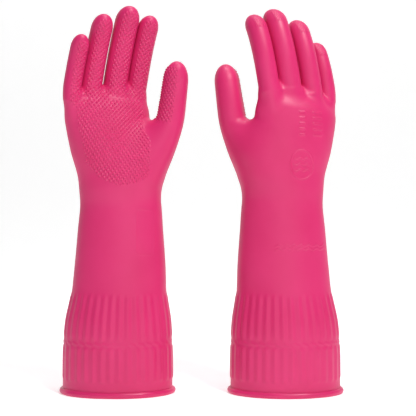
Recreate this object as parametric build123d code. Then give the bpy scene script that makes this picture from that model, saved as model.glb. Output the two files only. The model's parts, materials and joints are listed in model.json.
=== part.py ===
from build123d import *
import os
from collections import namedtuple
from math import cos, radians, sin, tan

# A pair of long-cuff rubber household gloves standing upright on their rolled cuffs.
# Each glove is a thin latex film with a rolled bead round its mouth and a flock lining.
# The film is split where it folds: at the wrist, at the finger roots and at the knuckles.
# Lengths are in millimetres and angles in degrees.
#
# A glove is drawn in its own frame: +Z up from the surface it stands on, +X towards the
# thumb, and -Y out of the palm. The pair's frame has its origin midway between the gloves.

# Driving dimensions
GLOVE_SPACING = 168.0       # from one glove's upright axis to the other's
FILM = 0.6                  # rubber film
GLUE = 0.05                 # adhesive between the film and the flock
FLOCK = 0.3                 # cotton flock lining
GAP = 0.3                   # between two zones of the film that fold against each other
BEAD_DIAMETER = 6.4         # rolled rim round the mouth
BEAD_FLAT = 0.3             # how far the rim is pressed flat where it stands
WRIST_HEIGHT = 192.0
WRIST_FLEX = 50.0           # towards the palm
WRIST_EXTEND = 40.0         # towards the back
KNUCKLE_EXTEND = 15.0       # how far a finger root bends back
PIVOT_OFFSET = 0.3          # a knuckle's pivot, towards the palm, as a share of the radius
MARGIN = 6.0                # how far a cutting shape passes the film that it trims
SOCKET_DEPTH = 18.0         # how far a finger's stub runs down into the palm
OVERSIZE = 800.0            # side of a cutting block that is larger than a glove

# A level section of the arm or the palm. The two sides are measured from the glove's axis.
# The palm's sections turn about the upright, which brings the little finger forward.
Section = namedtuple("Section", "height little_side thumb_side half_depth turn", defaults=(0.0,))

GAUNTLET_SECTIONS = (
    Section(3.0, 55.3, 55.3, 36.8),
    Section(20.0, 54.5, 55.0, 37.5),
    Section(50.0, 53.5, 54.5, 37.0),
    Section(72.0, 50.5, 52.5, 34.5),
    Section(98.0, 45.5, 49.0, 30.5),
    Section(145.0, 43.0, 47.5, 27.0),
    Section(205.0, 39.5, 43.5, 24.0),
)
PALM_SECTIONS = (
    Section(180.0, 39.5, 43.5, 24.0),
    Section(205.0, 39.8, 43.0, 24.0, 3.0),
    Section(235.0, 46.0, 39.0, 24.0, 9.0),
    Section(270.0, 54.0, 34.0, 22.5, 17.0),
    Section(292.0, 56.0, 33.0, 19.0, 23.0),
    Section(302.0, 54.0, 31.0, 14.5, 23.0),
)
MOUND_BASE = (28.0, -3.0, 212.0)
MOUND_RADIUS = 16.0

# base is the middle of the tube at the root hinge and length runs from there to the tip.
# lean tips the digit towards the thumb side, and turn faces its pad towards the palm.
# shares divide the length at the knuckles, and tilts are each stretch's resting curl.
# flex holds each hinge's range towards the palm, from the root outwards.
Digit = namedtuple(
    "Digit", "name base lean turn length root_radius tip_radius shares tilts flex"
)

FINGER_SHARES = (0.37, 0.29, 0.34)
FINGER_TILTS = (4.0, 12.0, 24.0)
FINGER_FLEX = (65.0, 70.0, 42.0)
FINGER_LEAN = 9.0
FINGER_TURN = 20.0

DIGITS = (
    Digit(
        "thumb", (54.5, -3.0, 280.0), 8.0, -5.0, 50.0, 13.0, 10.5,
        (0.46, 0.54), (4.0, 12.0), (40.0, 60.0),
    ),
    Digit(
        "index", (19.3, 14.5, 316.0), FINGER_LEAN, FINGER_TURN, 65.0, 10.9, 9.6,
        FINGER_SHARES, FINGER_TILTS, FINGER_FLEX,
    ),
    Digit(
        "middle", (-1.2, 4.5, 318.0), FINGER_LEAN, FINGER_TURN, 71.0, 11.3, 9.8,
        FINGER_SHARES, FINGER_TILTS, FINGER_FLEX,
    ),
    Digit(
        "ring", (-24.4, -5.0, 315.0), FINGER_LEAN, FINGER_TURN, 63.0, 10.6, 9.2,
        FINGER_SHARES, FINGER_TILTS, FINGER_FLEX,
    ),
    Digit(
        "little", (-42.4, -16.7, 307.0), FINGER_LEAN, FINGER_TURN, 49.0, 9.0, 8.1,
        FINGER_SHARES, FINGER_TILTS, FINGER_FLEX,
    ),
)
STRETCH_NAMES = {2: ("root", "tip"), 3: ("root", "middle", "tip")}


def section_face(section, inset):
    """The oval of one level section, inset all round."""
    half_width = (section.little_side + section.thumb_side) / 2
    centre = (section.thumb_side - section.little_side) / 2
    oval = Ellipse(half_width - inset, section.half_depth - inset)
    return Pos(centre, 0, section.height) * Rot(Z=section.turn) * oval


def lofted(sections, inset):
    """A solid arm or palm through level sections, inset all round."""
    return loft([section_face(section, inset) for section in sections])


def frustum(start, end, start_radius, end_radius):
    """A solid cone stub between two points."""
    along = end - start
    middle = Plane(origin=start + along * 0.5, z_dir=along)
    return middle * Cone(start_radius, end_radius, along.length)


def along_yz(tilt):
    """The way a digit's stretch runs in its own side plane, tilted towards the palm."""
    return Vector(0, -sin(radians(tilt)), cos(radians(tilt)))


def back_yz(tilt):
    """The way the back of a digit's stretch faces in its own side plane."""
    return Vector(0, cos(radians(tilt)), sin(radians(tilt)))


def fold_cut(pivot, tilt, flex_half, extend_half, reach, half_width, beyond):
    """A wedge-ended block that trims a tube beyond a fold line, or short of it.

    The tube keeps a sector round the pivot, so that its neighbour can turn through twice
    flex_half towards the palm and twice extend_half towards the back without touching it.
    """
    away = along_yz(tilt) * (1 if beyond else -1)
    back = back_yz(tilt)
    apex = pivot - away * (GAP / 2)
    palm_end = apex - back * reach - away * (reach * tan(radians(flex_half)))
    back_end = apex + back * reach - away * (reach * tan(radians(extend_half)))
    far = away * OVERSIZE
    corners = (palm_end, apex, back_end, back_end + far, palm_end + far)
    outline = Plane.YZ * Polygon(*[(p.Y, p.Z) for p in corners], align=None)
    return extrude(outline, half_width, both=True)


def centreline(digit):
    """The ends of a digit's stretches, from the root hinge's section, in its side plane."""
    points = [Vector(0, 0, 0)]
    for share, tilt in zip(digit.shares, digit.tilts):
        points.append(points[-1] + along_yz(tilt) * (share * digit.length))
    return points


def radius_at(digit, joint):
    """The tube's radius at a hinge, counted from the root."""
    share = sum(digit.shares[:joint])
    return digit.root_radius + (digit.tip_radius - digit.root_radius) * share


def bend(digit, joint):
    """How much the resting digit turns at a hinge."""
    return digit.tilts[joint] - (digit.tilts[joint - 1] if joint else 0)


def pivot(digit, joint):
    """A hinge's point in the digit's side plane, a little towards the palm."""
    tilt = digit.tilts[joint] - bend(digit, joint) / 2
    offset = PIVOT_OFFSET * radius_at(digit, joint)
    return centreline(digit)[joint] - back_yz(tilt) * offset


def knuckle_cut(digit, joint, tilt, beyond):
    """The cut at one hinge for the stretch on either side of it."""
    extend = KNUCKLE_EXTEND if joint == 0 else 0
    return fold_cut(
        pivot(digit, joint),
        tilt,
        (digit.flex[joint] + bend(digit, joint)) / 2,
        max(extend - bend(digit, joint), 0) / 2,
        digit.root_radius + MARGIN,
        digit.root_radius + GAP / 2,
        beyond,
    )


def stretch_solid(digit, number, inset):
    """One stretch of a digit as a solid, passing its hinges, and round at the tip."""
    start, end = centreline(digit)[number : number + 2]
    along = (end - start).normalized()
    last = number == len(digit.shares) - 1
    start_radius = radius_at(digit, number) - inset
    end_radius = radius_at(digit, number + 1) - inset
    if last:
        end = end - along * digit.tip_radius
        return frustum(start - along * MARGIN, end, start_radius, end_radius) + (
            Pos(end) * Sphere(end_radius)
        )
    return frustum(
        start - along * MARGIN, end + along * MARGIN, start_radius, end_radius
    )


def stretch_tube(digit, number):
    """One stretch of a digit's film, open at its hinges and closed at the tip."""
    tilt = digit.tilts[number]
    tube = stretch_solid(digit, number, 0) - stretch_solid(digit, number, FILM)
    tube -= knuckle_cut(digit, number, tilt, beyond=False)
    if number < len(digit.shares) - 1:
        tube -= knuckle_cut(digit, number + 1, tilt, beyond=True)
    return tube


def digit_place(digit):
    """From a digit's own frame to the glove's."""
    return Pos(*digit.base) * Rot(Y=digit.lean) * Rot(Z=digit.turn)


def socket_solid(digit, inset):
    """The hand's short stub below a digit's root hinge, as a solid."""
    radius = digit.root_radius - inset
    if digit.name == "thumb":
        base = Vector(*digit.base)
        top = base + Vector(sin(radians(digit.lean)), 0, cos(radians(digit.lean))) * MARGIN
        return frustum(Vector(*MOUND_BASE), top, MOUND_RADIUS - inset, radius)
    low = Vector(0, 0, -SOCKET_DEPTH)
    high = Vector(0, 0, MARGIN)
    taper = (digit.root_radius - digit.tip_radius) / digit.length
    stub = frustum(low, high, radius - low.Z * taper, radius - high.Z * taper)
    return digit_place(digit) * stub


def hand_solid(inset):
    """The palm, the thumb's mound and the five stubs as one solid, inset all round."""
    above = Pos(0, 0, PALM_SECTIONS[-1].height - inset + OVERSIZE / 2)
    solid = lofted(PALM_SECTIONS, inset) - above * Box(OVERSIZE, OVERSIZE, OVERSIZE)
    for digit in DIGITS:
        solid += socket_solid(digit, inset)
    return solid


def wrist_cut(beyond):
    """The cut across the arm at the wrist's fold, for either side of it."""
    reach = PALM_SECTIONS[0].half_depth + MARGIN
    return fold_cut(
        Vector(0, 0, WRIST_HEIGHT), 0, WRIST_FLEX / 2, WRIST_EXTEND / 2,
        reach, 2 * reach, beyond,
    )


def hand_layer(outer_inset, inner_inset):
    """One layer of the hand, open at the wrist and at the five digits."""
    layer = hand_solid(outer_inset) - hand_solid(inner_inset)
    layer -= wrist_cut(beyond=False)
    for digit in DIGITS:
        layer -= digit_place(digit) * knuckle_cut(digit, 0, 0, beyond=True)
    return layer


def gauntlet_layer(outer_inset, inner_inset):
    """One layer of the gauntlet, open at the mouth and at the wrist."""
    layer = lofted(GAUNTLET_SECTIONS, outer_inset) - lofted(GAUNTLET_SECTIONS, inner_inset)
    return layer - wrist_cut(beyond=True)


def cuff_bead():
    """The rolled rim, pressed a little flat where the glove stands on it."""
    radius = BEAD_DIAMETER / 2
    rim = GAUNTLET_SECTIONS[0]
    path = Pos(0, 0, radius - BEAD_FLAT) * Edge.make_ellipse(rim.thumb_side, rim.half_depth)
    bead = sweep((path ^ 0) * Circle(radius), path=path)
    below = Pos(0, 0, -OVERSIZE / 2)
    return bead - below * Box(OVERSIZE, OVERSIZE, OVERSIZE)


def glove_pieces():
    """Every piece of one glove in the glove's own frame, by name."""
    lining = (FILM + GLUE, FILM + GLUE + FLOCK)
    bead = cuff_bead()
    pieces = {
        "gauntlet": gauntlet_layer(0, FILM) - bead,
        "cuff_bead": bead,
        "gauntlet_lining": gauntlet_layer(*lining) - bead,
        "hand": hand_layer(0, FILM),
        "hand_lining": hand_layer(*lining),
    }
    for digit in DIGITS:
        for number, stretch in enumerate(STRETCH_NAMES[len(digit.shares)]):
            tube = digit_place(digit) * stretch_tube(digit, number)
            pieces[f"{digit.name}_{stretch}"] = tube
    return pieces


# The second glove is the first turned half round, so its back faces the way the first's
# palm does.
GLOVE_PLACES = {
    "glove_a": Pos(-GLOVE_SPACING / 2, 0, 0),
    "glove_b": Rot(Z=180) * Pos(-GLOVE_SPACING / 2, 0, 0),
}


def main():
    os.makedirs("parts", exist_ok=True)
    pieces = glove_pieces()
    for glove, place in GLOVE_PLACES.items():
        for name, piece in pieces.items():
            export_step(place * piece, f"parts/{glove}_{name}.step")


if __name__ == "__main__":
    main()
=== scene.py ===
import json
import math

import bpy
import numpy as np
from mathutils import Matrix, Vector


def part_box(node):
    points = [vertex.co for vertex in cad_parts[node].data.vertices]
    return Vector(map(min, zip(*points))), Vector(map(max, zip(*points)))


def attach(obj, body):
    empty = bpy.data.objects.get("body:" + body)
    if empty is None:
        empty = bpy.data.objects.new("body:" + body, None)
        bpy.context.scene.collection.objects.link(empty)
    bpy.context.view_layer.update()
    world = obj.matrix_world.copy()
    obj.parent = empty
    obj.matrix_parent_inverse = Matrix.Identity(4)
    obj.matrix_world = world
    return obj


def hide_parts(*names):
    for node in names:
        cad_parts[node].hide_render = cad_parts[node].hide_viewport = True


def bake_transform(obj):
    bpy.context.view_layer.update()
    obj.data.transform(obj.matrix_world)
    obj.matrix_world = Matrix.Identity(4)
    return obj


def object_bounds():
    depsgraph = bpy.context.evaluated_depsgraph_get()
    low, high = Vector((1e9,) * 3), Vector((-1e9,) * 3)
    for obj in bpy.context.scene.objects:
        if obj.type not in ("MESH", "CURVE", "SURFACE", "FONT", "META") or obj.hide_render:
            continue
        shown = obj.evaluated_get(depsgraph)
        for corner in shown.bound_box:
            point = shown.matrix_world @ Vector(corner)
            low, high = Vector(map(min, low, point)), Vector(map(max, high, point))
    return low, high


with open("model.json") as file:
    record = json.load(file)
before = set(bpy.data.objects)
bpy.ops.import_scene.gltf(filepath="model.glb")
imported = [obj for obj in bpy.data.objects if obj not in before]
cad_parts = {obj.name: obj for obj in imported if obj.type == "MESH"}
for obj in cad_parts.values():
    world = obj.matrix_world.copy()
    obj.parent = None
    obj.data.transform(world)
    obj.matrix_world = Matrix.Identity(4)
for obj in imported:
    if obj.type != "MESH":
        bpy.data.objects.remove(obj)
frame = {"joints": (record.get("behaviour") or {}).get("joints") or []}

# Two pink household gloves, standing on their rolled cuffs. The film of one glove is drawn
# once, as the zero surface of a distance field whose hinges and sizes come from the frame.
# It is meshed, given its relief, cut into one piece per CAD node, and used for both gloves.
# Everything is in metres. A glove is drawn in its own frame, with +X towards the thumb and
# -Y out of the palm; the second glove is the first turned half round the frame's upright.

CAD_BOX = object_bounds()
MM = 0.001

JOINTS = {joint["name"]: joint for joint in frame["joints"]}
BEAD_LOW, BEAD_HIGH = (np.array(corner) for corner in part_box("glove_a_cuff_bead"))
GLOVE_ORIGIN = np.array([(BEAD_LOW[0] + BEAD_HIGH[0]) / 2, 0.0, 0.0])
CUFF_HALF_WIDTH = (BEAD_HIGH[0] - BEAD_LOW[0]) / 2
CUFF_HALF_DEPTH = (BEAD_HIGH[1] - BEAD_LOW[1]) / 2
BEAD_RADIUS = (BEAD_HIGH[2] - BEAD_LOW[2]) / 2
BEAD_PRESSED = 0.0003        # how far the glove's weight presses the bead down
MOUTH = BEAD_RADIUS - BEAD_PRESSED   # the bead's middle, where the film's lower edge is
WRIST = np.array(JOINTS["glove_a_wrist_flex"]["pos_m"]) - GLOVE_ORIGIN

# The arm and palm: height, reach on the little finger's side and on the thumb's side,
# half depth, and the section's turn about the upright in degrees.
ARM_SECTIONS = (
    (0.000, 0.0551, 0.0551, 0.0366, 0.0),
    (0.012, 0.0545, 0.0550, 0.0372, 0.0),
    (0.045, 0.0538, 0.0545, 0.0370, 0.0),
    (0.072, 0.0515, 0.0530, 0.0350, 0.0),
    (0.098, 0.0460, 0.0492, 0.0305, 0.0),
    (0.125, 0.0430, 0.0482, 0.0283, 0.0),
    (0.160, 0.0398, 0.0458, 0.0260, 0.0),
    (0.195, 0.0372, 0.0430, 0.0243, 2.0),
    (0.215, 0.0395, 0.0395, 0.0238, 6.0),
    (0.240, 0.0465, 0.0400, 0.0240, 11.0),
    (0.268, 0.0524, 0.0340, 0.0218, 17.0),
    (0.282, 0.0550, 0.0328, 0.0188, 20.0),
    (0.295, 0.0556, 0.0315, 0.0150, 22.0),
    (0.306, 0.0525, 0.0305, 0.0125, 23.0),
    (0.325, 0.0500, 0.0300, 0.0110, 23.0),
)
PALM_TOP = 0.3052            # where the palm closes between the fingers, at its highest
PALM_TOP_MIDDLE = 0.008      # how far towards the thumb that is
PALM_TOP_FALL = 4.3          # how it falls away to the sides, per metre squared
PALM_TOP_ROUND = 0.022       # how widely the palm's sides round over into its top
MOUND_RADIUS = 0.0155        # the thumb's mound at its lower end
MOUND_LENGTH = 0.066         # from there up to the thumb's root hinge
THUMB_WEB = 0.028            # how widely the thumb's mound blends into the palm
FINGER_WEB = 0.008           # how widely the fingers blend into the palm and each other
WEB_FADE = (-0.004, 0.010)   # where the fingers part, from the palm's top
PARTING_FADE = (-0.005, 0.007)   # where they are thinned to mesh apart, from there too

PIVOT_OFFSET = 0.3           # a knuckle's pivot lies this share of a radius palmward
TIP_CURL = 0.20              # how much more the last stretch bends than the one before
FOOT_TOP = -0.018            # below this a finger's tube narrows away into the palm
FOOT_TAPER = 0.35            # by how much for each metre below
THUMB_PART = (0.265, 0.284)  # the heights over which the thumb parts from the palm

# Each digit's radius at its root and at its tip's dome, how long that dome is, how far it
# runs past the CAD tip, how its tube curves in below its root (per metre), the turn of its
# pad about its own length from the hinge's facing, and the half-width of its grip, the
# last two in degrees.
DIGITS = {
    "thumb": (0.0134, 0.0124, 0.021, 0.0010, 5.2, -40.0, 54.0),
    "index": (0.0105, 0.0106, 0.016, 0.0010, 0.0, 3.0, 44.0),
    "middle": (0.0121, 0.0119, 0.017, 0.0010, 0.0, 2.0, 44.0),
    "ring": (0.0109, 0.0107, 0.016, 0.0020, 0.0, 5.0, 42.0),
    "little": (0.0090, 0.0089, 0.014, 0.0015, -7.0, 12.0, 34.0),
}
FINGERS = ("index", "middle", "ring", "little")
STRETCHES = {"thumb": ("root", "tip")}
STRETCHES.update({name: ("root", "middle", "tip") for name in FINGERS})


# ---------------------------------------------------------------- fields

def smoothstep(low, high, value):
    """0 below low, 1 above high, and smooth between."""
    t = np.clip((value - low) / (high - low), 0, 1)
    return t * t * (3 - 2 * t)


def smooth_min(a, b, width):
    """The nearer of two distances, blended where they differ by less than width."""
    width = np.maximum(width, 1e-6)
    share = np.maximum(width - np.abs(a - b), 0) / width
    return np.minimum(a, b) - share * share * width / 4


def hermite(heights, values, at):
    """A smooth curve through values at heights, with a slope from each value's neighbours."""
    slopes = np.gradient(values, heights)
    index = np.clip(np.searchsorted(heights, at) - 1, 0, len(heights) - 2)
    step = heights[index + 1] - heights[index]
    t = (at - heights[index]) / step
    low, high = values[index], values[index + 1]
    return (
        low * (2 * t**3 - 3 * t**2 + 1)
        + high * (3 * t**2 - 2 * t**3)
        + slopes[index] * step * (t**3 - 2 * t**2 + t)
        + slopes[index + 1] * step * (t**3 - t**2)
    )


ARM_STEPS = 650
ARM_COLUMNS = np.array(ARM_SECTIONS).T
ARM_HEIGHTS = np.linspace(ARM_COLUMNS[0][0], ARM_COLUMNS[0][-1], ARM_STEPS)
ARM_CURVES = [hermite(ARM_COLUMNS[0], column, ARM_HEIGHTS) for column in ARM_COLUMNS[1:]]


def arm_section(height):
    """Centre, half width, half depth and turn of the arm at a height."""
    little, thumb, depth, turn = (np.interp(height, ARM_HEIGHTS, c) for c in ARM_CURVES)
    return (thumb - little) / 2, (thumb + little) / 2, depth, np.radians(turn)


def arm_coordinates(points):
    """A point's place in the arm's level section: across, through and the half sizes."""
    centre, half_width, half_depth, turn = arm_section(points[:, 2])
    x, y = points[:, 0] - centre, points[:, 1]
    across = x * np.cos(turn) + y * np.sin(turn)
    through = y * np.cos(turn) - x * np.sin(turn)
    return across, through, half_width, half_depth


def oval_distance(across, through, half_width, half_depth):
    """Roughly the distance to an oval, exact near its edge."""
    near = np.hypot(across / half_width, through / half_depth)
    slope = np.hypot(across / half_width**2, through / half_depth**2)
    return near * (near - 1) / np.maximum(slope, 1e-9)


def arm_distance(points):
    """Distance to the arm and palm, closed above the palm."""
    side = oval_distance(*arm_coordinates(points))
    return -smooth_min(-side, -above_palm(points), PALM_TOP_ROUND)


def above_palm(points):
    """Height over the palm's top, which is lower beside the little finger."""
    away = points[:, 0] - PALM_TOP_MIDDLE
    return points[:, 2] - PALM_TOP + PALM_TOP_FALL * away * away


class Digit:
    """One digit in its own frame: x along its hinges, y out of its back, z along it."""

    def __init__(self, name):
        self.name = name
        (
            self.root_radius, self.tip_radius, self.tip_round, past_tip, self.bow,
            pad_turn, grip_half,
        ) = DIGITS[name]
        self.pad_turn = math.radians(pad_turn)
        self.grip_half = math.radians(grip_half)
        nodes = [f"glove_a_{name}_{stretch}" for stretch in STRETCHES[name]]
        joints = [JOINTS[f"{node}_flex"] for node in nodes]
        self.hinges = [np.array(joint["pos_m"]) - GLOVE_ORIGIN for joint in joints]
        self.hinge_axis = np.array(joints[0]["axis"])
        rise = self.hinges[1] - self.hinges[0]
        rise = rise - (rise @ self.hinge_axis) * self.hinge_axis
        self.along = np.cross(self.hinge_axis, np.cross(rise, self.hinge_axis))
        self.along /= np.linalg.norm(self.along)
        self.back = np.cross(self.along, self.hinge_axis)
        self.axes = np.array([self.hinge_axis, self.back, self.along])
        self.root = self.hinges[0] + self.back * PIVOT_OFFSET * self.root_radius
        tip_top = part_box(nodes[-1])[1][2]
        self.length = (tip_top - self.root[2]) / self.along[2] + past_tip
        self.powers, self.curve = self.centreline()

    def to_local(self, points):
        """Points in the digit's own frame."""
        return (points - self.root) @ self.axes.T

    def centreline(self):
        """The powers and factors of a curve past the hinges' sections and into the tip."""
        local = [self.to_local(hinge[None])[0] for hinge in self.hinges]
        line = [(p[2], p[1] + PIVOT_OFFSET * self.root_radius) for p in local]
        bend = (line[-1][1] - line[-2][1]) / (line[-1][0] - line[-2][0])
        rise_to_tip = self.length - line[-1][0]
        line.append((self.length, line[-1][1] + (bend - TIP_CURL) * rise_to_tip))
        heights, offsets = np.array(line).T
        powers = np.arange(1, len(line))
        return powers, np.linalg.solve(heights[1:, None] ** powers, offsets[1:])

    def offset_and_slope(self, height):
        """The centreline's offset out of the back, and its slope, at a height along."""
        z = np.clip(height, 0, self.length)
        offset = sum(c * z**p for c, p in zip(self.curve, self.powers))
        slope = sum(c * p * z ** (p - 1) for c, p in zip(self.curve, self.powers))
        return offset + (height - z) * slope, slope

    def parts(self, points):
        """Each point's x and y from the centreline, its z, and the centreline's lean."""
        x, y, z = self.to_local(points).T
        offset, slope = self.offset_and_slope(z)
        lean = 1 / np.sqrt(1 + slope**2)
        out = (y - offset) * lean
        below = np.minimum(z, 0)
        x = (x + self.bow * below**2) / np.sqrt(1 + (2 * self.bow * below) ** 2)
        return x, out, z, lean

    def distance(self, points):
        """Roughly the distance to the digit, exact near its surface."""
        x, out, z, lean = self.parts(points)
        reach = np.hypot(x, out)
        dome = self.length - self.tip_round
        share = np.clip(z / dome, 0, 1)
        radius = self.root_radius + (self.tip_radius - self.root_radius) * share
        below = np.minimum(z, 0)
        if self.name == "thumb":
            grown = np.minimum(-below / MOUND_LENGTH, 1) * (MOUND_RADIUS - self.root_radius)
            past = np.minimum(z + MOUND_LENGTH, 0)
            shaft = np.hypot(reach, past) - radius - grown
        else:
            shaft = reach - radius - FOOT_TAPER * np.minimum(z - FOOT_TOP, 0)
        beyond = np.maximum(z - dome, 0) / lean
        near = np.sqrt((reach / self.tip_radius) ** 2 + (beyond / self.tip_round) ** 2)
        slope = np.sqrt(
            (reach / self.tip_radius**2) ** 2 + (beyond / self.tip_round**2) ** 2
        )
        cap = near * (near - 1) / np.maximum(slope, 1e-9)
        return np.where(z > dome, cap, shaft)


DIGIT = {name: Digit(name) for name in DIGITS}
DIGIT_NUMBER = {name: number for number, name in enumerate(DIGITS)}


def glove_distance(points, parting=0.0):
    """Distance to the whole glove. Parting thins the fingers so that they mesh apart."""
    over = above_palm(points)
    web = FINGER_WEB * (1 - smoothstep(*WEB_FADE, over))
    field = arm_distance(points)
    for name in FINGERS:
        field = smooth_min(field, DIGIT[name].distance(points), web)
    thumb_web = THUMB_WEB * (1 - smoothstep(*THUMB_PART, points[:, 2]))
    field = smooth_min(field, DIGIT["thumb"].distance(points), thumb_web)
    return field + parting * smoothstep(*PARTING_FADE, over)


# ---------------------------------------------------------------- meshing

LEAST_SLOPE = 0.05           # the flattest that settling takes a field's squared slope to be


def slope_of(field, points, step=0.05 * MM):
    """A field's gradient by central differences."""
    columns = []
    for axis in range(3):
        shift = np.zeros(3)
        shift[axis] = step
        columns.append((field(points + shift) - field(points - shift)) / (2 * step))
    return np.stack(columns, 1)


def settle(field, points, rounds):
    """Moves points onto a field's zero surface."""
    for _ in range(rounds):
        slope = slope_of(field, points)
        steep = np.maximum((slope**2).sum(1), LEAST_SLOPE)
        step = field(points) / steep
        points = points - slope * np.clip(step, -MM, MM)[:, None]
    return points


def surface_net(field, low, high, pitch):
    """A quad mesh of a field's zero surface: one corner for each grid cell it crosses."""
    counts = np.ceil((high - low) / pitch).astype(int) + 1
    ticks = [low[axis] + pitch * np.arange(counts[axis]) for axis in range(3)]
    grid = np.stack(np.meshgrid(*ticks, indexing="ij"), -1).reshape(-1, 3)
    inside = (field(grid) < 0).reshape(counts)
    cells = counts - 1
    total = np.zeros(cells, int)
    for i, j, k in np.ndindex(2, 2, 2):
        total += inside[i : i + cells[0], j : j + cells[1], k : k + cells[2]]
    crossed = (total > 0) & (total < 8)
    number = np.full(cells, -1)
    number[crossed] = np.arange(crossed.sum())
    points = low + (np.argwhere(crossed) + 0.5) * pitch
    quads = []
    for axis in range(3):
        a, b = (axis + 1) % 3, (axis + 2) % 3
        first = np.take(inside, range(counts[axis] - 1), axis)
        second = np.take(inside, range(1, counts[axis]), axis)
        for outward in (True, False):
            edges = np.argwhere(first & ~second if outward else second & ~first)
            edges = edges[(edges[:, a] > 0) & (edges[:, b] > 0)]
            around = []
            for da, db in ((1, 1), (0, 1), (0, 0), (1, 0)):
                cell = edges.copy()
                cell[:, a] -= da
                cell[:, b] -= db
                cell = np.minimum(cell, cells - 1)
                around.append(number[tuple(cell.T)])
            quads.append(np.stack(around if outward else around[::-1], 1))
    quads = np.concatenate(quads)
    return points, quads[(quads >= 0).all(1)]


def relax(points, quads, rounds, held):
    """Evens a mesh out: each free corner moves halfway to its neighbours' middle."""
    sides = np.concatenate([quads[:, [i, (i + 1) % 4]] for i in range(4)])
    for _ in range(rounds):
        total = np.zeros_like(points)
        count = np.zeros(len(points))
        np.add.at(total, sides[:, 0], points[sides[:, 1]])
        np.add.at(count, sides[:, 0], 1)
        middle = total / np.maximum(count, 1)[:, None]
        points = np.where(held[:, None], points, (points + middle) / 2)
    return points


def side_ends(quads):
    """The two corners of each quad's four sides, the lower number first."""
    return np.sort(np.stack([quads, np.roll(quads, -1, 1)], -1), -1)


def split_quads(points, quads, chosen):
    """Splits chosen quads in four. A neighbour with a split side becomes a polygon."""
    picked, rest = quads[chosen], quads[~chosen]
    ends = side_ends(picked).reshape(-1, 2)
    unique, which = np.unique(ends, axis=0, return_inverse=True)
    which = which.reshape(-1, 4)
    middles = points[unique].mean(1)
    centres = points[picked].mean(1)
    first_middle = len(points)
    first_centre = first_middle + len(middles)
    middle = first_middle + which
    centre = first_centre + np.arange(len(picked))
    parts = [
        np.stack([picked[:, i], middle[:, i], centre, middle[:, i - 1]], 1)
        for i in range(4)
    ]
    split = np.concatenate(parts)
    everything = np.concatenate([points, middles, centres])
    code = unique[:, 0] * len(points) + unique[:, 1]
    rest_ends = side_ends(rest)
    rest_code = rest_ends[..., 0] * len(points) + rest_ends[..., 1]
    place = np.minimum(np.searchsorted(code, rest_code), len(code) - 1)
    has_middle = code[place] == rest_code
    touched = has_middle.any(1)
    polygons = with_middles(rest[touched], has_middle[touched], first_middle + place[touched])
    return everything, np.concatenate([rest[~touched], split]), polygons


def with_middles(quads, has_middle, middles):
    """Each quad as a polygon that also passes the middles of its split sides."""
    polygons = []
    for quad, marks, places in zip(quads, has_middle, middles):
        polygon = []
        for corner, mark, middle in zip(quad, marks, places):
            polygon.append(int(corner))
            if mark:
                polygon.append(int(middle))
        polygons.append(polygon)
    return polygons


# ---------------------------------------------------------------- relief

GRIP_WIDTH = 0.0040          # a grip pad's width, and the height of two rows of them
GRIP_HEIGHT = 0.0050
GRIP_RELIEF = 0.00100
GRIP_PAD = (0.10, 0.42)      # where a pad starts and is at its full height, from a groove
GRIP_EDGE = 0.0012           # how softly a patch of grip ends
GRIP_TIP_GAP = 0.007         # smooth part past the grip at a digit's tip
GRIP_FOOT = -0.022           # where a finger's grip starts, below its root hinge
THUMB_GRIP_FOOT = -0.011
WRAP_END = 0.012             # above this the grip's columns wrap round the finger

# The palm's grip: height, and its edges on the little finger's side and the thumb's side.
PALM_GRIP = (
    (0.2060, 0.0050, 0.0080),
    (0.2090, -0.0050, 0.0210),
    (0.2120, -0.0120, 0.0285),
    (0.2180, -0.0205, 0.0335),
    (0.2300, -0.0295, 0.0340),
    (0.2490, -0.0325, 0.0335),
    (0.2650, -0.0370, 0.0260),
    (0.3000, -0.0385, 0.0265),
)
PALM_GRIP_TOP = (0.287, 0.294)   # the heights over which it gives way to the smooth webs
PALM_GRIP_FRONT = (0.15, 0.30)   # where it starts round the side, in half depths

NAIL_PITCH = 0.0017
NAIL_RELIEF = 0.00045
NAIL_HALF_WIDTH = 0.0052
NAIL_SPAN = (0.018, 0.006)       # the nail patch's ends, back from the fingertip
NAIL_BACK = (0.0, 0.002)         # where it starts round the side, from the centreline
NAIL_EDGE = (-0.0002, 0.0006)    # where it starts and is full, inwards from its edge

FLUTE_COUNT = 34
FLUTE_RELIEF = 0.00080
FLUTE_SOFT = 0.008               # how softly a band of flutes starts and ends
UPPER_FLUTES = (0.056, 0.098)
LOWER_FLUTES = (0.015, 0.048)
SCALLOP_HEIGHT = 0.0515          # the row of scallops between the bands
SCALLOP_RISE = 0.0028
SCALLOP_HALF = 0.0022
SCALLOP_TAPER = (0.3, 0.5)       # how its ends die away, in shares of a flute's pitch
SCALLOP_RELIEF = 0.00045
CUFF_STEPS = 721                 # how finely the length round the cuff is summed

MARK_RELIEF = 0.00040
MARK_LINE = 0.0006               # half the width of a drawn line
MARK_SOFT = 0.0004
MARK_FACE = (0.3, 0.5)           # where marks start round the side, in half depths


def grip_pads(u, v):
    """Staggered rows of diamond pads: 1 on a pad and 0 in the grooves between."""
    rising = u / GRIP_WIDTH + v / GRIP_HEIGHT
    falling = u / GRIP_WIDTH - v / GRIP_HEIGHT
    near = np.minimum(
        np.abs(rising - np.round(rising)), np.abs(falling - np.round(falling))
    )
    return smoothstep(*GRIP_PAD, near)


def digit_angle(x, out, facing):
    """The angle round a digit from the facing direction, seen from its palm side."""
    angle = np.arctan2(x, -out) - facing
    return (angle + math.pi) % (2 * math.pi) - math.pi


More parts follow.
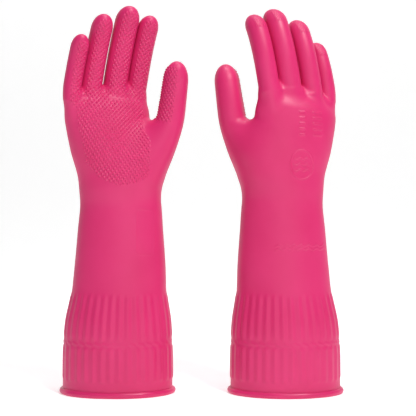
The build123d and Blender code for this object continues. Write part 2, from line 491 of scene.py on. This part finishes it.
def digit_grip(digit, points):
    """The grip's strength on a digit, and its pads."""
    x, out, z, _ = digit.parts(points)
    radius = digit.root_radius
    angle = digit_angle(x, out, digit.pad_turn)
    half = digit.grip_half
    soft = GRIP_EDGE / radius
    side = smoothstep(half + soft, half - soft, np.abs(angle))
    top = digit.length - GRIP_TIP_GAP
    end = smoothstep(top + 0.5 * GRIP_EDGE, top - 1.5 * GRIP_EDGE, z)
    foot = GRIP_FOOT if digit.name in FINGERS else THUMB_GRIP_FOOT
    start = smoothstep(foot - 2 * GRIP_EDGE, foot + 2 * GRIP_EDGE, z)
    round_it = radius * digit_angle(x, out, 0.0)
    wrap = smoothstep(0, WRAP_END, z) if digit.name in FINGERS else 1.0
    u = digit.root @ digit.hinge_axis + x + (round_it - x) * wrap
    v = points @ digit.along
    return side * end * start, grip_pads(u, v)


def palm_grip(points):
    """The grip's strength on the palm, and its pads."""
    heights, left, right = np.array(PALM_GRIP).T
    x, z = points[:, 0], points[:, 2]
    _, through, _, half_depth = arm_coordinates(points)
    inset = np.minimum(x - np.interp(z, heights, left), np.interp(z, heights, right) - x)
    inset = np.minimum(inset, z - heights[0])
    top = 1 - smoothstep(*PALM_GRIP_TOP, z)
    front = smoothstep(*PALM_GRIP_FRONT, -through / half_depth)
    finger = DIGIT["middle"]
    pads = grip_pads(points @ finger.hinge_axis, points @ finger.along)
    return smoothstep(-GRIP_EDGE, GRIP_EDGE, inset) * top * front, pads


def grip_height(points, owner):
    """The grip's strength, and how far it stands out, at each point of the film."""
    strength, pads = palm_grip(points)
    for number, name in enumerate(DIGITS):
        part, its_pads = digit_grip(DIGIT[name], points)
        own = owner == number
        pads = np.where(own & (part > strength), its_pads, pads)
        near_palm = (name in FINGERS) & (owner < 0)
        strength = np.where(own | near_palm, np.maximum(strength, part), strength)
    return strength, strength * pads * GRIP_RELIEF


def nail_height(points, owner):
    """Fine slanting ribs on the back of each fingertip."""
    height = np.zeros(len(points))
    for name in FINGERS:
        digit = DIGIT[name]
        x, out, z, _ = digit.parts(points)
        back = smoothstep(*NAIL_BACK, out)
        low, high = (digit.length - gap for gap in NAIL_SPAN)
        inset = np.minimum(NAIL_HALF_WIDTH - np.abs(x), np.minimum(z - low, high - z))
        patch = back * smoothstep(*NAIL_EDGE, inset) * (owner == DIGIT_NUMBER[name])
        ribs = 0.5 + 0.5 * np.cos(2 * math.pi * (x + z) / (NAIL_PITCH * math.sqrt(2)))
        height += patch * ribs * NAIL_RELIEF
    return height


def round_the_cuff(points):
    """How far round the cuff a point is, from 0 to 1, by length along the cuff."""
    across, through, half_width, half_depth = arm_coordinates(points)
    angle = np.arctan2(through / half_depth, across / half_width)
    turns = np.linspace(-math.pi, math.pi, CUFF_STEPS)
    speed = np.hypot(CUFF_HALF_WIDTH * np.sin(turns), CUFF_HALF_DEPTH * np.cos(turns))
    run = np.concatenate([[0], np.cumsum((speed[1:] + speed[:-1]) / 2)])
    return np.interp(angle, turns, run / run[-1])


def band(span, soft, height):
    """1 inside a span of heights, fading out softly at both ends."""
    low, high = span
    rise = smoothstep(low - soft / 2, low + soft / 2, height)
    return rise * (1 - smoothstep(high - soft / 2, high + soft / 2, height))


def cuff_height(points):
    """The cuff's two bands of upright flutes and the row of scallops between them."""
    z = points[:, 2]
    share = round_the_cuff(points) * FLUTE_COUNT
    ridge = 0.5 + 0.5 * np.cos(2 * math.pi * share)
    flutes = band(UPPER_FLUTES, FLUTE_SOFT, z) + band(LOWER_FLUTES, FLUTE_SOFT / 2, z)
    slant = 0.5 - (share - np.floor(share))
    middle = SCALLOP_HEIGHT + SCALLOP_RISE * slant
    taper = 1 - smoothstep(*SCALLOP_TAPER, np.abs(slant))
    scallop = taper * smoothstep(SCALLOP_HALF, 0, np.abs(z - middle))
    return flutes * ridge * FLUTE_RELIEF + scallop * SCALLOP_RELIEF


def drawn(gap):
    """A raised line where the gap to its middle is small."""
    return smoothstep(MARK_LINE + MARK_SOFT, MARK_LINE - MARK_SOFT, np.abs(gap))


def rounded_box(x, z, half_width, half_height, corner):
    """Distance to a box with rounded corners."""
    dx = np.abs(x) - half_width + corner
    dz = np.abs(z) - half_height + corner
    outside = np.hypot(np.maximum(dx, 0), np.maximum(dz, 0))
    return outside + np.minimum(np.maximum(dx, dz), 0) - corner


# Plain marks in place of the maker's: an oval of waves and two columns of bars on the back
# of the hand, a pair of waved lines across the forearm, and a tall frame on its palm side.
OVAL_CENTRE = (-0.0145, 0.2265)
OVAL_HALF = (0.0115, 0.0145)
OVAL_INSIDE = (-0.0020, -0.0026) # where its waves end, from the ring's middle
WAVE_LENGTH = 0.0075
WAVE_HEIGHT = 0.0010
WAVE_GAP = 0.0058                # from one of the oval's waves to the next
BAR_COLUMNS = ((-0.0150, 0.0030), (-0.0305, 0.0046))   # each one's middle and half width
BAR_SPAN = (0.253, 0.281)
BAR_PITCH = 0.0056
BAR_WEIGHT = 1.6                 # a bar's thickness, in drawn lines
FOREARM_WAVE = (-0.0160, 0.1455, 0.0285)               # its middle, height and half length
FOREARM_GAP = 0.3                # half the gap of the forearm's pair, in wave gaps
FRAME_CENTRE = (0.0290, 0.1600)
FRAME_HALF = (0.0085, 0.0220)
FRAME_CORNER = 0.004
FRAME_FAINTNESS = 0.5            # the frame's relief, as a share of the other marks'


def oval_mark(x, z):
    """An oval ring round three waved lines."""
    x, z = x - OVAL_CENTRE[0], z - OVAL_CENTRE[1]
    gap = oval_distance(x, z, *OVAL_HALF)
    ring = drawn(gap)
    wave = z - WAVE_HEIGHT * np.sin(2 * math.pi * x / WAVE_LENGTH)
    lines = drawn(wave - WAVE_GAP * np.clip(np.round(wave / WAVE_GAP), -1, 1))
    return np.maximum(ring, lines * smoothstep(*OVAL_INSIDE, gap))


def bar_marks(x, z):
    """Two columns of short level bars."""
    low, high = BAR_SPAN
    step = z - low - BAR_PITCH * (0.5 + np.floor((z - low) / BAR_PITCH))
    inside = (z > low) & (z < high)
    marks = np.zeros(len(x))
    for middle, half in BAR_COLUMNS:
        end = smoothstep(half + MARK_SOFT, half - MARK_SOFT, np.abs(x - middle))
        marks = np.maximum(marks, drawn(step / BAR_WEIGHT) * end * inside)
    return marks


def forearm_waves(x, z):
    """Two waved lines side by side across the forearm."""
    middle, level, half = FOREARM_WAVE
    wave = z - level - WAVE_HEIGHT * np.sin(2 * math.pi * (x - middle) / WAVE_LENGTH)
    end = smoothstep(half + MARK_SOFT, half - MARK_SOFT, np.abs(x - middle))
    return drawn(np.abs(wave) - FOREARM_GAP * WAVE_GAP) * end


def tall_frame(x, z):
    """A tall rounded frame."""
    x, z = x - FRAME_CENTRE[0], z - FRAME_CENTRE[1]
    return drawn(rounded_box(x, z, *FRAME_HALF, FRAME_CORNER))


def mark_height(points):
    """How far the plain marks stand out."""
    x, z = points[:, 0], points[:, 2]
    _, through, _, half_depth = arm_coordinates(points)
    back = smoothstep(*MARK_FACE, through / half_depth)
    palm = smoothstep(*MARK_FACE, -through / half_depth)
    marks = np.maximum(np.maximum(oval_mark(x, z), bar_marks(x, z)), forearm_waves(x, z))
    return MARK_RELIEF * (marks * back + FRAME_FAINTNESS * tall_frame(x, z) * palm)


# ---------------------------------------------------------------- the film's mesh

NET_PITCH = 0.002            # the first mesh's step; it is halved once, and again where
                             # there is fine relief
PARTING = 0.0022             # how much the fingers are thinned so that they mesh apart
NET_LOW = (-0.066, -0.046)   # the first mesh's box, with room on all sides of the glove
NET_HIGH = (0.078, 0.046)
NET_ABOVE = 0.008            # the room over the fingertips
LINING_DEPTH = 0.0009        # from the film's outside to the lining's inside
LEAST_GRIP = 0.01            # the least strength of grip that is meshed finely
LEAST_MARK = 0.02 * MARK_RELIEF


def film_owner(points):
    """Which digit each point belongs to, numbered as in DIGITS, or -1 for arm and palm."""
    fields = [DIGIT[name].distance(points) for name in DIGITS]
    fields.append(arm_distance(points))
    owner = np.argmin(fields, axis=0)
    return np.where(owner == len(DIGITS), -1, owner)


def parted_field(points):
    """Distance to the glove with its fingers thinned."""
    return glove_distance(points, PARTING)


def outward_at(points):
    """The film's outward direction at each point."""
    slope = slope_of(glove_distance, points)
    return slope / np.linalg.norm(slope, axis=1)[:, None]


def first_mesh():
    """The film as quads about one step across, with the fingers apart."""
    low = np.array([*NET_LOW, MOUTH])
    high = np.array([*NET_HIGH, CAD_BOX[1][2] + NET_ABOVE])
    points, quads = surface_net(parted_field, low, high, NET_PITCH)
    used = np.unique(quads)
    number = np.full(len(points), -1)
    number[used] = np.arange(len(used))
    points, quads = points[used], number[quads]
    points = settle(parted_field, points, 2)
    mouth = points[:, 2] < low[2] + NET_PITCH
    points = relax(points, quads, 3, mouth)
    points = settle(parted_field, points, 2)
    points = relax(points, quads, 1, mouth)
    return settle(glove_distance, settle(parted_field, points, 2), 4), quads


def fine_relief(points):
    """Where the film has relief too fine for the halved mesh."""
    owner = film_owner(points)
    strength, _ = grip_height(points, owner)
    marks = mark_height(points) + nail_height(points, owner)
    return (strength > LEAST_GRIP) | (marks > LEAST_MARK)


def spread(quads, marked, count):
    """Marks every corner of the quads that have a marked corner."""
    wide = np.zeros(count, bool)
    wide[quads[marked[quads].any(1)]] = True
    return wide


def film_mesh():
    """The film with its relief as points, quads and polygons, and the mesh it came from."""
    base = first_mesh()
    points, quads, _ = split_quads(*base, np.ones(len(base[1]), bool))
    points = settle(glove_distance, points, 2)
    fine = spread(quads, fine_relief(points), len(points))
    points, quads, polygons = split_quads(points, quads, fine[quads].any(1))
    points = settle(glove_distance, points, 2)
    outward = outward_at(points)
    owner = film_owner(points)
    height = grip_height(points, owner)[1] + nail_height(points, owner)
    height += cuff_height(points) + mark_height(points)
    return points + outward * height[:, None], quads, polygons, base


def corner_normals(points, quads, polygons):
    """Smooth normals at a mesh's points, from its faces."""
    across = points[quads[:, 2]] - points[quads[:, 0]]
    along = points[quads[:, 3]] - points[quads[:, 1]]
    face = np.cross(across, along)
    normals = np.zeros_like(points)
    for corner in range(4):
        np.add.at(normals, quads[:, corner], face)
    for polygon in polygons:
        ring = points[polygon]
        normals[polygon] += np.cross(ring, np.roll(ring, -1, 0)).sum(0)
    length = np.linalg.norm(normals, axis=1)
    return normals / np.maximum(length, 1e-12)[:, None]


# ---------------------------------------------------------------- cutting into pieces

CUT_MARGIN = 0.0015          # from a cut to where the next bend starts
WRIST_REACH = 0.035          # how far a wrist's bend runs on each side of its hinge
WRIST_MARGIN = 0.0005        # from where a wrist's bend ends to the cut
ROOT_CUT = -0.004            # a digit's first cut, from its root hinge
CUT_BEFORE = {"thumb": 0.40, "finger": 0.32}   # a knuckle's cut, as a share of the
CUT_AFTER = 0.42                               # stretch before it or after it
WRIST_CUT = WRIST[2] + WRIST_REACH + WRIST_MARGIN


def digit_bends(name):
    """For each piece of a digit, its cut and where its bend starts and ends."""
    digit = DIGIT[name]
    marks = [digit.to_local(hinge[None])[0][2] for hinge in digit.hinges]
    before = CUT_BEFORE["thumb" if name == "thumb" else "finger"]
    cuts = [ROOT_CUT, marks[1] - before * (marks[1] - marks[0])]
    if len(marks) > 2:
        cuts.append(marks[1] + CUT_AFTER * (marks[2] - marks[1]))
    starts = [cut + CUT_MARGIN for cut in cuts]
    ends = cuts[1:] + [2 * marks[-1] - starts[-1]]
    return list(zip(cuts, starts, ends))


def piece_list():
    """Every piece of one glove: its node, the two bodies it lies between, and the ends of the
    span given for its bend.
    """
    wrist_low = WRIST - [0, 0, WRIST_REACH]
    wrist_high = WRIST + [0, 0, WRIST_REACH]
    pieces = [
        ("gauntlet", "gauntlet", "hand", wrist_low, wrist_high),
        ("hand", "hand", None, None, None),
    ]
    for name in DIGITS:
        digit, before = DIGIT[name], "hand"
        for stretch, (_, start, end) in zip(STRETCHES[name], digit_bends(name)):
            node = f"{name}_{stretch}"
            low, high = (digit.root + digit.along * run for run in (start, end))
            pieces.append((node, before, node, low, high))
            before = node
    return pieces


LINED_NODES = ("gauntlet", "hand")   # those whose lining is a node of its own
PIECES = piece_list()
PIECE_NUMBER = {piece[0]: number for number, piece in enumerate(PIECES)}


def flat_faces(quads, polygons):
    """Faces as one run of corners, and where each face starts in it."""
    corners = np.concatenate([quads.ravel()] + [np.array(p) for p in polygons])
    counts = [4] * len(quads) + [len(polygon) for polygon in polygons]
    return corners.astype(int), np.concatenate([[0], np.cumsum(counts)[:-1]])


def face_pieces(points, owner, corners, starts):
    """Which piece each face belongs to, by its lowest corner along each digit."""
    heights = np.minimum.reduceat(points[corners, 2], starts)
    which = np.where(heights < WRIST_CUT, PIECE_NUMBER["gauntlet"], PIECE_NUMBER["hand"])
    face_owner = np.maximum.reduceat(owner[corners], starts)
    for number, name in enumerate(DIGITS):
        along = DIGIT[name].to_local(points)[:, 2]
        lowest = np.minimum.reduceat(along[corners], starts)
        for stretch, (cut, _, _) in zip(STRETCHES[name], digit_bends(name)):
            inside = (face_owner == number) & (lowest >= cut)
            which[inside] = PIECE_NUMBER[f"{name}_{stretch}"]
    return which


def placed(glove, points):
    """Points of the drawn glove in the row frame, on either glove's spot."""
    moved = points + GLOVE_ORIGIN
    return moved * [-1, -1, 1] if glove == "glove_b" else moved


def turned(glove, directions):
    """Directions of the drawn glove in the row frame, on either glove."""
    return directions * [-1, -1, 1] if glove == "glove_b" else directions


def mesh_object(name, points, normals, rings, finishes, materials):
    """A smooth mesh object of the rings of corners given, with its normals set."""
    used = np.unique(np.concatenate(rings))
    number = np.zeros(len(points), int)
    number[used] = np.arange(len(used))
    mesh = bpy.data.meshes.new(name)
    mesh.from_pydata(points[used].tolist(), [], [number[ring].tolist() for ring in rings])
    for material in materials:
        mesh.materials.append(material)
    mesh.polygons.foreach_set("material_index", np.array(finishes, np.int32))
    mesh.polygons.foreach_set("use_smooth", np.ones(len(rings), bool))
    mesh.normals_split_custom_set_from_vertices(normals[used].tolist())
    piece = bpy.data.objects.new(name, mesh)
    bpy.context.collection.objects.link(piece)
    return piece


def sorted_faces(points, quads, polygons, first):
    """Each piece's faces of one layer, with their corners numbered from first."""
    corners, starts = flat_faces(quads, polygons)
    which = face_pieces(points, film_owner(points), corners, starts)
    rings = np.split(corners + first, starts[1:])
    return [
        [rings[face] for face in np.flatnonzero(which == number)]
        for number in range(len(PIECES))
    ]


def glove_shell():
    """The drawn glove: its points and normals, and each piece's outer and inner faces."""
    points, quads, polygons, (base, base_quads) = film_mesh()
    inner = base - outward_at(base) * LINING_DEPTH
    inner_quads = base_quads[:, ::-1]
    normals = corner_normals(points, quads, polygons)
    inner_normals = corner_normals(inner, inner_quads, [])
    outer_faces = sorted_faces(points, quads, polygons, 0)
    inner_faces = sorted_faces(base, inner_quads, [], len(points))
    return (
        np.concatenate([points, inner]),
        np.concatenate([normals, inner_normals]),
        list(zip(outer_faces, inner_faces)),
    )


def move_with_bodies(piece, glove, before, after, low, high):
    """Leaves a piece that lies between two bodies where it is, with its place baked into its
    points, or lets it ride on the only one.
    """
    if after:
        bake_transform(piece)
    else:
        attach(piece, f"{glove}_{before}")


def layers_of(glove, node, outer, inner):
    """The pieces in a node's place: their names, film and flock faces, and nodes replaced."""
    full = f"{glove}_{node}"
    if node in LINED_NODES:
        return [
            (f"{full}_film", outer, [], [full]),
            (f"{full}_flock", [], inner, [f"{full}_lining"]),
        ]
    return [(f"{full}_film", outer, inner, [full])]


def build_glove(glove, shell, film, flock):
    """One glove's pieces, each in place of its CAD node; a piece on one body alone rides on it.
    """
    points, normals, faces = shell
    points, normals = placed(glove, points), turned(glove, normals)
    for (node, *motion), (outer, inner) in zip(PIECES, faces):
        for name, film_rings, flock_rings, replaced in layers_of(glove, node, outer, inner):
            finishes = [0] * len(film_rings) + [1] * len(flock_rings)
            piece = mesh_object(
                name, points, normals, film_rings + flock_rings, finishes, [film, flock]
            )
            move_with_bodies(piece, glove, *motion)
            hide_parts(*replaced)


BEAD_STEPS = 420
BEAD_ROUND = 28
# The mouth is rolled a little unevenly: waves round it, where they start, and their height.
BEAD_WAVES = ((5, 0.7, 0.00012), (13, 2.1, 0.000072))
BEAD_GROOVE = 0.00035        # the step where the roll's edge meets it, on the inside
GROOVE_TURN = 0.78 * math.pi
GROOVE_WIDTH = (0.5, 0.05)   # from the groove's edge to its bottom, round the roll


def bead_surface():
    """The rolled rim's points, as a grid round the mouth and round the roll."""
    centre, half_width, half_depth, _ = arm_section(np.array([BEAD_RADIUS]))
    turn = np.linspace(0, 2 * math.pi, BEAD_STEPS, endpoint=False)[:, None]
    roll = np.linspace(0, 2 * math.pi, BEAD_ROUND, endpoint=False)[None, :]
    out_x, out_y = half_depth * np.cos(turn), half_width * np.sin(turn)
    length = np.hypot(out_x, out_y)
    waver = sum(height * np.sin(waves * turn + start) for waves, start, height in BEAD_WAVES)
    groove = BEAD_GROOVE * smoothstep(*GROOVE_WIDTH, np.abs(roll - GROOVE_TURN))
    radius = BEAD_RADIUS + waver - groove
    x = centre + half_width * np.cos(turn) + out_x / length * radius * np.cos(roll)
    y = half_depth * np.sin(turn) + out_y / length * radius * np.cos(roll)
    z = np.maximum(MOUTH + radius * np.sin(roll), 0)
    return np.stack([x, y, z], -1).reshape(-1, 3)


def build_bead(glove, rubber):
    """The rolled rim round one glove's mouth."""
    points = placed(glove, bead_surface())
    turn = np.arange(BEAD_STEPS)[:, None] * BEAD_ROUND
    next_turn = (np.arange(BEAD_STEPS)[:, None] + 1) % BEAD_STEPS * BEAD_ROUND
    roll = np.arange(BEAD_ROUND)[None, :]
    next_roll = (roll + 1) % BEAD_ROUND
    quads = np.stack(
        [turn + roll, next_turn + roll, next_turn + next_roll, turn + next_roll], -1
    ).reshape(-1, 4)
    normals = corner_normals(points, quads, [])
    bead = mesh_object(
        f"{glove}_rolled_bead", points, normals, list(quads), [0] * len(quads), [rubber]
    )
    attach(bead, f"{glove}_gauntlet")
    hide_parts(f"{glove}_cuff_bead")


# ---------------------------------------------------------------- materials

def from_screen(red, green, blue):
    """A screen colour, 0 to 255, as the linear colour that a shader takes."""
    def straight(value):
        value /= 255
        return value / 12.92 if value <= 0.04045 else ((value + 0.055) / 1.055) ** 2.4
    return (straight(red), straight(green), straight(blue), 1)


def new_material(name, values):
    """A material with its principled shader's plain values set."""
    material = bpy.data.materials.new(name)
    material.use_nodes = True
    nodes, links = material.node_tree.nodes, material.node_tree.links
    shader = nodes["Principled BSDF"]
    for socket, value in values.items():
        shader.inputs[socket].default_value = value
    place = nodes.new("ShaderNodeTexCoord").outputs["Object"]
    return material, nodes, links, shader, place


def add_noise(nodes, links, place, scale, detail=3.0):
    """Noise from 0 to 1, with scale blotches to the metre."""
    noise = nodes.new("ShaderNodeTexNoise")
    noise.inputs["Scale"].default_value = scale
    noise.inputs["Detail"].default_value = detail
    links.new(place, noise.inputs["Vector"])
    return noise.outputs["Fac"]


def add_ramp(nodes, links, value, low, high, span=(0.3, 0.7)):
    """Runs from one colour to another as a value crosses a span."""
    ramp = nodes.new("ShaderNodeValToRGB")
    for element, at, colour in zip(ramp.color_ramp.elements, span, (low, high)):
        element.position = at
        element.color = colour
    links.new(value, ramp.inputs["Fac"])
    return ramp.outputs["Color"]


def add_bump(nodes, links, shader, value, depth, strength=1.0, under=None):
    """Fine unevenness of a depth, on its own or over another bump."""
    bump = nodes.new("ShaderNodeBump")
    bump.inputs["Strength"].default_value = strength
    bump.inputs["Distance"].default_value = depth
    links.new(value, bump.inputs["Height"])
    if under is not None:
        links.new(under, bump.inputs["Normal"])
    links.new(bump.outputs["Normal"], shader.inputs["Normal"])
    return bump.outputs["Normal"]


def grey(value):
    """A plain grey, for a colour or for a ramp that carries one number."""
    return (value, value, value, 1)


RUBBER_LIGHT = from_screen(212, 42, 108)
RUBBER_DEEP = from_screen(205, 35, 100)
RUBBER_VALUES = {
    "IOR": 1.5,
    "Specular IOR Level": 0.45,
    "Subsurface Weight": 0.05,
    "Subsurface Scale": 0.001,
    "Subsurface Radius": (1.0, 0.35, 0.45),
}
GLOSS_RANGE = (-0.04, 0.05)      # how far the rubber's roughness strays from its own value
FLOCK_LIGHT = from_screen(248, 224, 230)
FLOCK_DEEP = from_screen(232, 190, 202)
FLOCK_VALUES = {"Roughness": 0.95, "Sheen Weight": 0.5}


def rubber_material(name, roughness):
    """Dipped latex: satin, a little uneven in colour and gloss, with a soft skin."""
    material, nodes, links, shader, place = new_material(name, RUBBER_VALUES)
    cloud = add_noise(nodes, links, place, scale=18)
    colour = add_ramp(nodes, links, cloud, RUBBER_DEEP, RUBBER_LIGHT)
    links.new(colour, shader.inputs["Base Color"])
    gloss = add_noise(nodes, links, place, scale=60)
    low, high = (grey(roughness + stray) for stray in GLOSS_RANGE)
    links.new(add_ramp(nodes, links, gloss, low, high), shader.inputs["Roughness"])
    waves = add_noise(nodes, links, place, scale=90, detail=1)
    pores = add_noise(nodes, links, place, scale=1500)
    swell = add_bump(nodes, links, shader, waves, depth=0.00008)
    add_bump(nodes, links, shader, pores, depth=0.00002, strength=0.6, under=swell)
    return material


def flock_material():
    """Short cotton flock: pale pink, matte and downy."""
    material, nodes, links, shader, place = new_material("flock", FLOCK_VALUES)
    fibre = add_noise(nodes, links, place, scale=2500, detail=6)
    colour = add_ramp(nodes, links, fibre, FLOCK_DEEP, FLOCK_LIGHT)
    links.new(colour, shader.inputs["Base Color"])
    add_bump(nodes, links, shader, fibre, depth=0.0002, strength=0.8)
    return material


def paper_material():
    """Matte paper that glows a little, so that it stays pale."""
    return new_material("pale_paper", PAPER_VALUES)[0]


# ---------------------------------------------------------------- studio

FLOOR_HALF = 12.0            # half the floor's width
FLOOR_FRONT = -12.0
BACKDROP_START = 1.6         # where the floor starts to bend up behind the gloves
BACKDROP_BEND = 1.2          # the bend's radius
BACKDROP_TOP = 4.0
BACKDROP_STEPS = 16
PAPER_VALUES = {
    "Base Color": grey(0.9),
    "Roughness": 0.9,
    "Emission Color": grey(1),
    "Emission Strength": 0.385,
}

CAMERA_SPOT = (0.0065, -1.0, 0.184)
CAMERA_WIDTH = 0.416         # width of the view at the gloves
SENSOR_WIDTH = 36.0

# Each light's name, place, size and power. All face the gloves' middle.
LIGHTS = (
    ("key", (0.8, -1.1, 1.9), 0.4, 30),
    ("front", (0.3, -2.2, 0.4), 1.2, 5),
    ("top", (0.1, 0.1, 2.0), 0.6, 11),
)
LIGHT_TARGET = (0, 0, 0.2)
SKY_STRENGTH = 0.35
SKY_SIDE = 0.3               # how bright the world is at both sides, beside its middle
SKY_SPAN = (0.3, 0.85)       # where it falls off, as the sideways part of a direction


def add_light(name, place, target, size, power):
    """A square soft light at place, facing target."""
    data = bpy.data.lights.new(name, "AREA")
    data.size = size
    data.energy = power
    light = bpy.data.objects.new(name, data)
    light.location = place
    facing = Vector(target) - Vector(place)
    light.rotation_euler = facing.to_track_quat("-Z", "Y").to_euler()
    bpy.context.collection.objects.link(light)


def add_floor():
    """A pale floor that sweeps up into a backdrop."""
    profile = [(FLOOR_FRONT, 0.0)]
    for step in range(BACKDROP_STEPS + 1):
        angle = step / BACKDROP_STEPS * math.pi / 2
        back = BACKDROP_START + BACKDROP_BEND * math.sin(angle)
        profile.append((back, BACKDROP_BEND * (1 - math.cos(angle))))
    profile.append((BACKDROP_START + BACKDROP_BEND, BACKDROP_TOP))
    points = [(side * FLOOR_HALF, y, z) for y, z in profile for side in (-1, 1)]
    faces = [(2 * i, 2 * i + 1, 2 * i + 3, 2 * i + 2) for i in range(len(profile) - 1)]
    mesh = bpy.data.meshes.new("studio_floor")
    mesh.from_pydata(points, [], faces)
    floor = bpy.data.objects.new("studio_floor", mesh)
    bpy.context.collection.objects.link(floor)
    mesh.materials.append(paper_material())
    mesh.polygons.foreach_set("use_smooth", np.ones(len(faces), bool))


def add_camera():
    """A level camera facing the gloves squarely."""
    data = bpy.data.cameras.new("camera")
    data.sensor_width = SENSOR_WIDTH
    data.lens = SENSOR_WIDTH * -CAMERA_SPOT[1] / CAMERA_WIDTH
    camera = bpy.data.objects.new("camera", data)
    camera.location = CAMERA_SPOT
    camera.rotation_euler = (math.pi / 2, 0, 0)
    bpy.context.collection.objects.link(camera)
    bpy.context.scene.camera = camera


def add_world():
    """A white world that falls off to both sides, so that round shapes darken at their rims."""
    world = bpy.data.worlds.new("world")
    bpy.context.scene.world = world
    world.use_nodes = True
    shade = world.node_tree.nodes["Background"]
    nodes, links = world.node_tree.nodes, world.node_tree.links
    place = nodes.new("ShaderNodeTexCoord").outputs["Generated"]
    split = nodes.new("ShaderNodeSeparateXYZ")
    links.new(place, split.inputs["Vector"])
    side = nodes.new("ShaderNodeMath")
    side.operation = "ABSOLUTE"
    links.new(split.outputs["X"], side.inputs[0])
    sky = add_ramp(nodes, links, side.outputs[0], grey(1), grey(SKY_SIDE), SKY_SPAN)
    links.new(sky, shade.inputs["Color"])
    shade.inputs["Strength"].default_value = SKY_STRENGTH


def add_studio():
    """The floor, the camera, soft lights and the world."""
    add_floor()
    add_camera()
    for name, place, size, power in LIGHTS:
        add_light(name, place, LIGHT_TARGET, size, power)
    add_world()
    bpy.context.scene.view_settings.view_transform = "Standard"


FILM_RUBBER = rubber_material("pink_film", roughness=0.44)
BEAD_RUBBER = rubber_material("pink_bead", roughness=0.34)
FLOCK_COTTON = flock_material()

SHELL = glove_shell()
for GLOVE in ("glove_a", "glove_b"):
    build_glove(GLOVE, SHELL, FILM_RUBBER, FLOCK_COTTON)
    build_bead(GLOVE, BEAD_RUBBER)
add_studio()
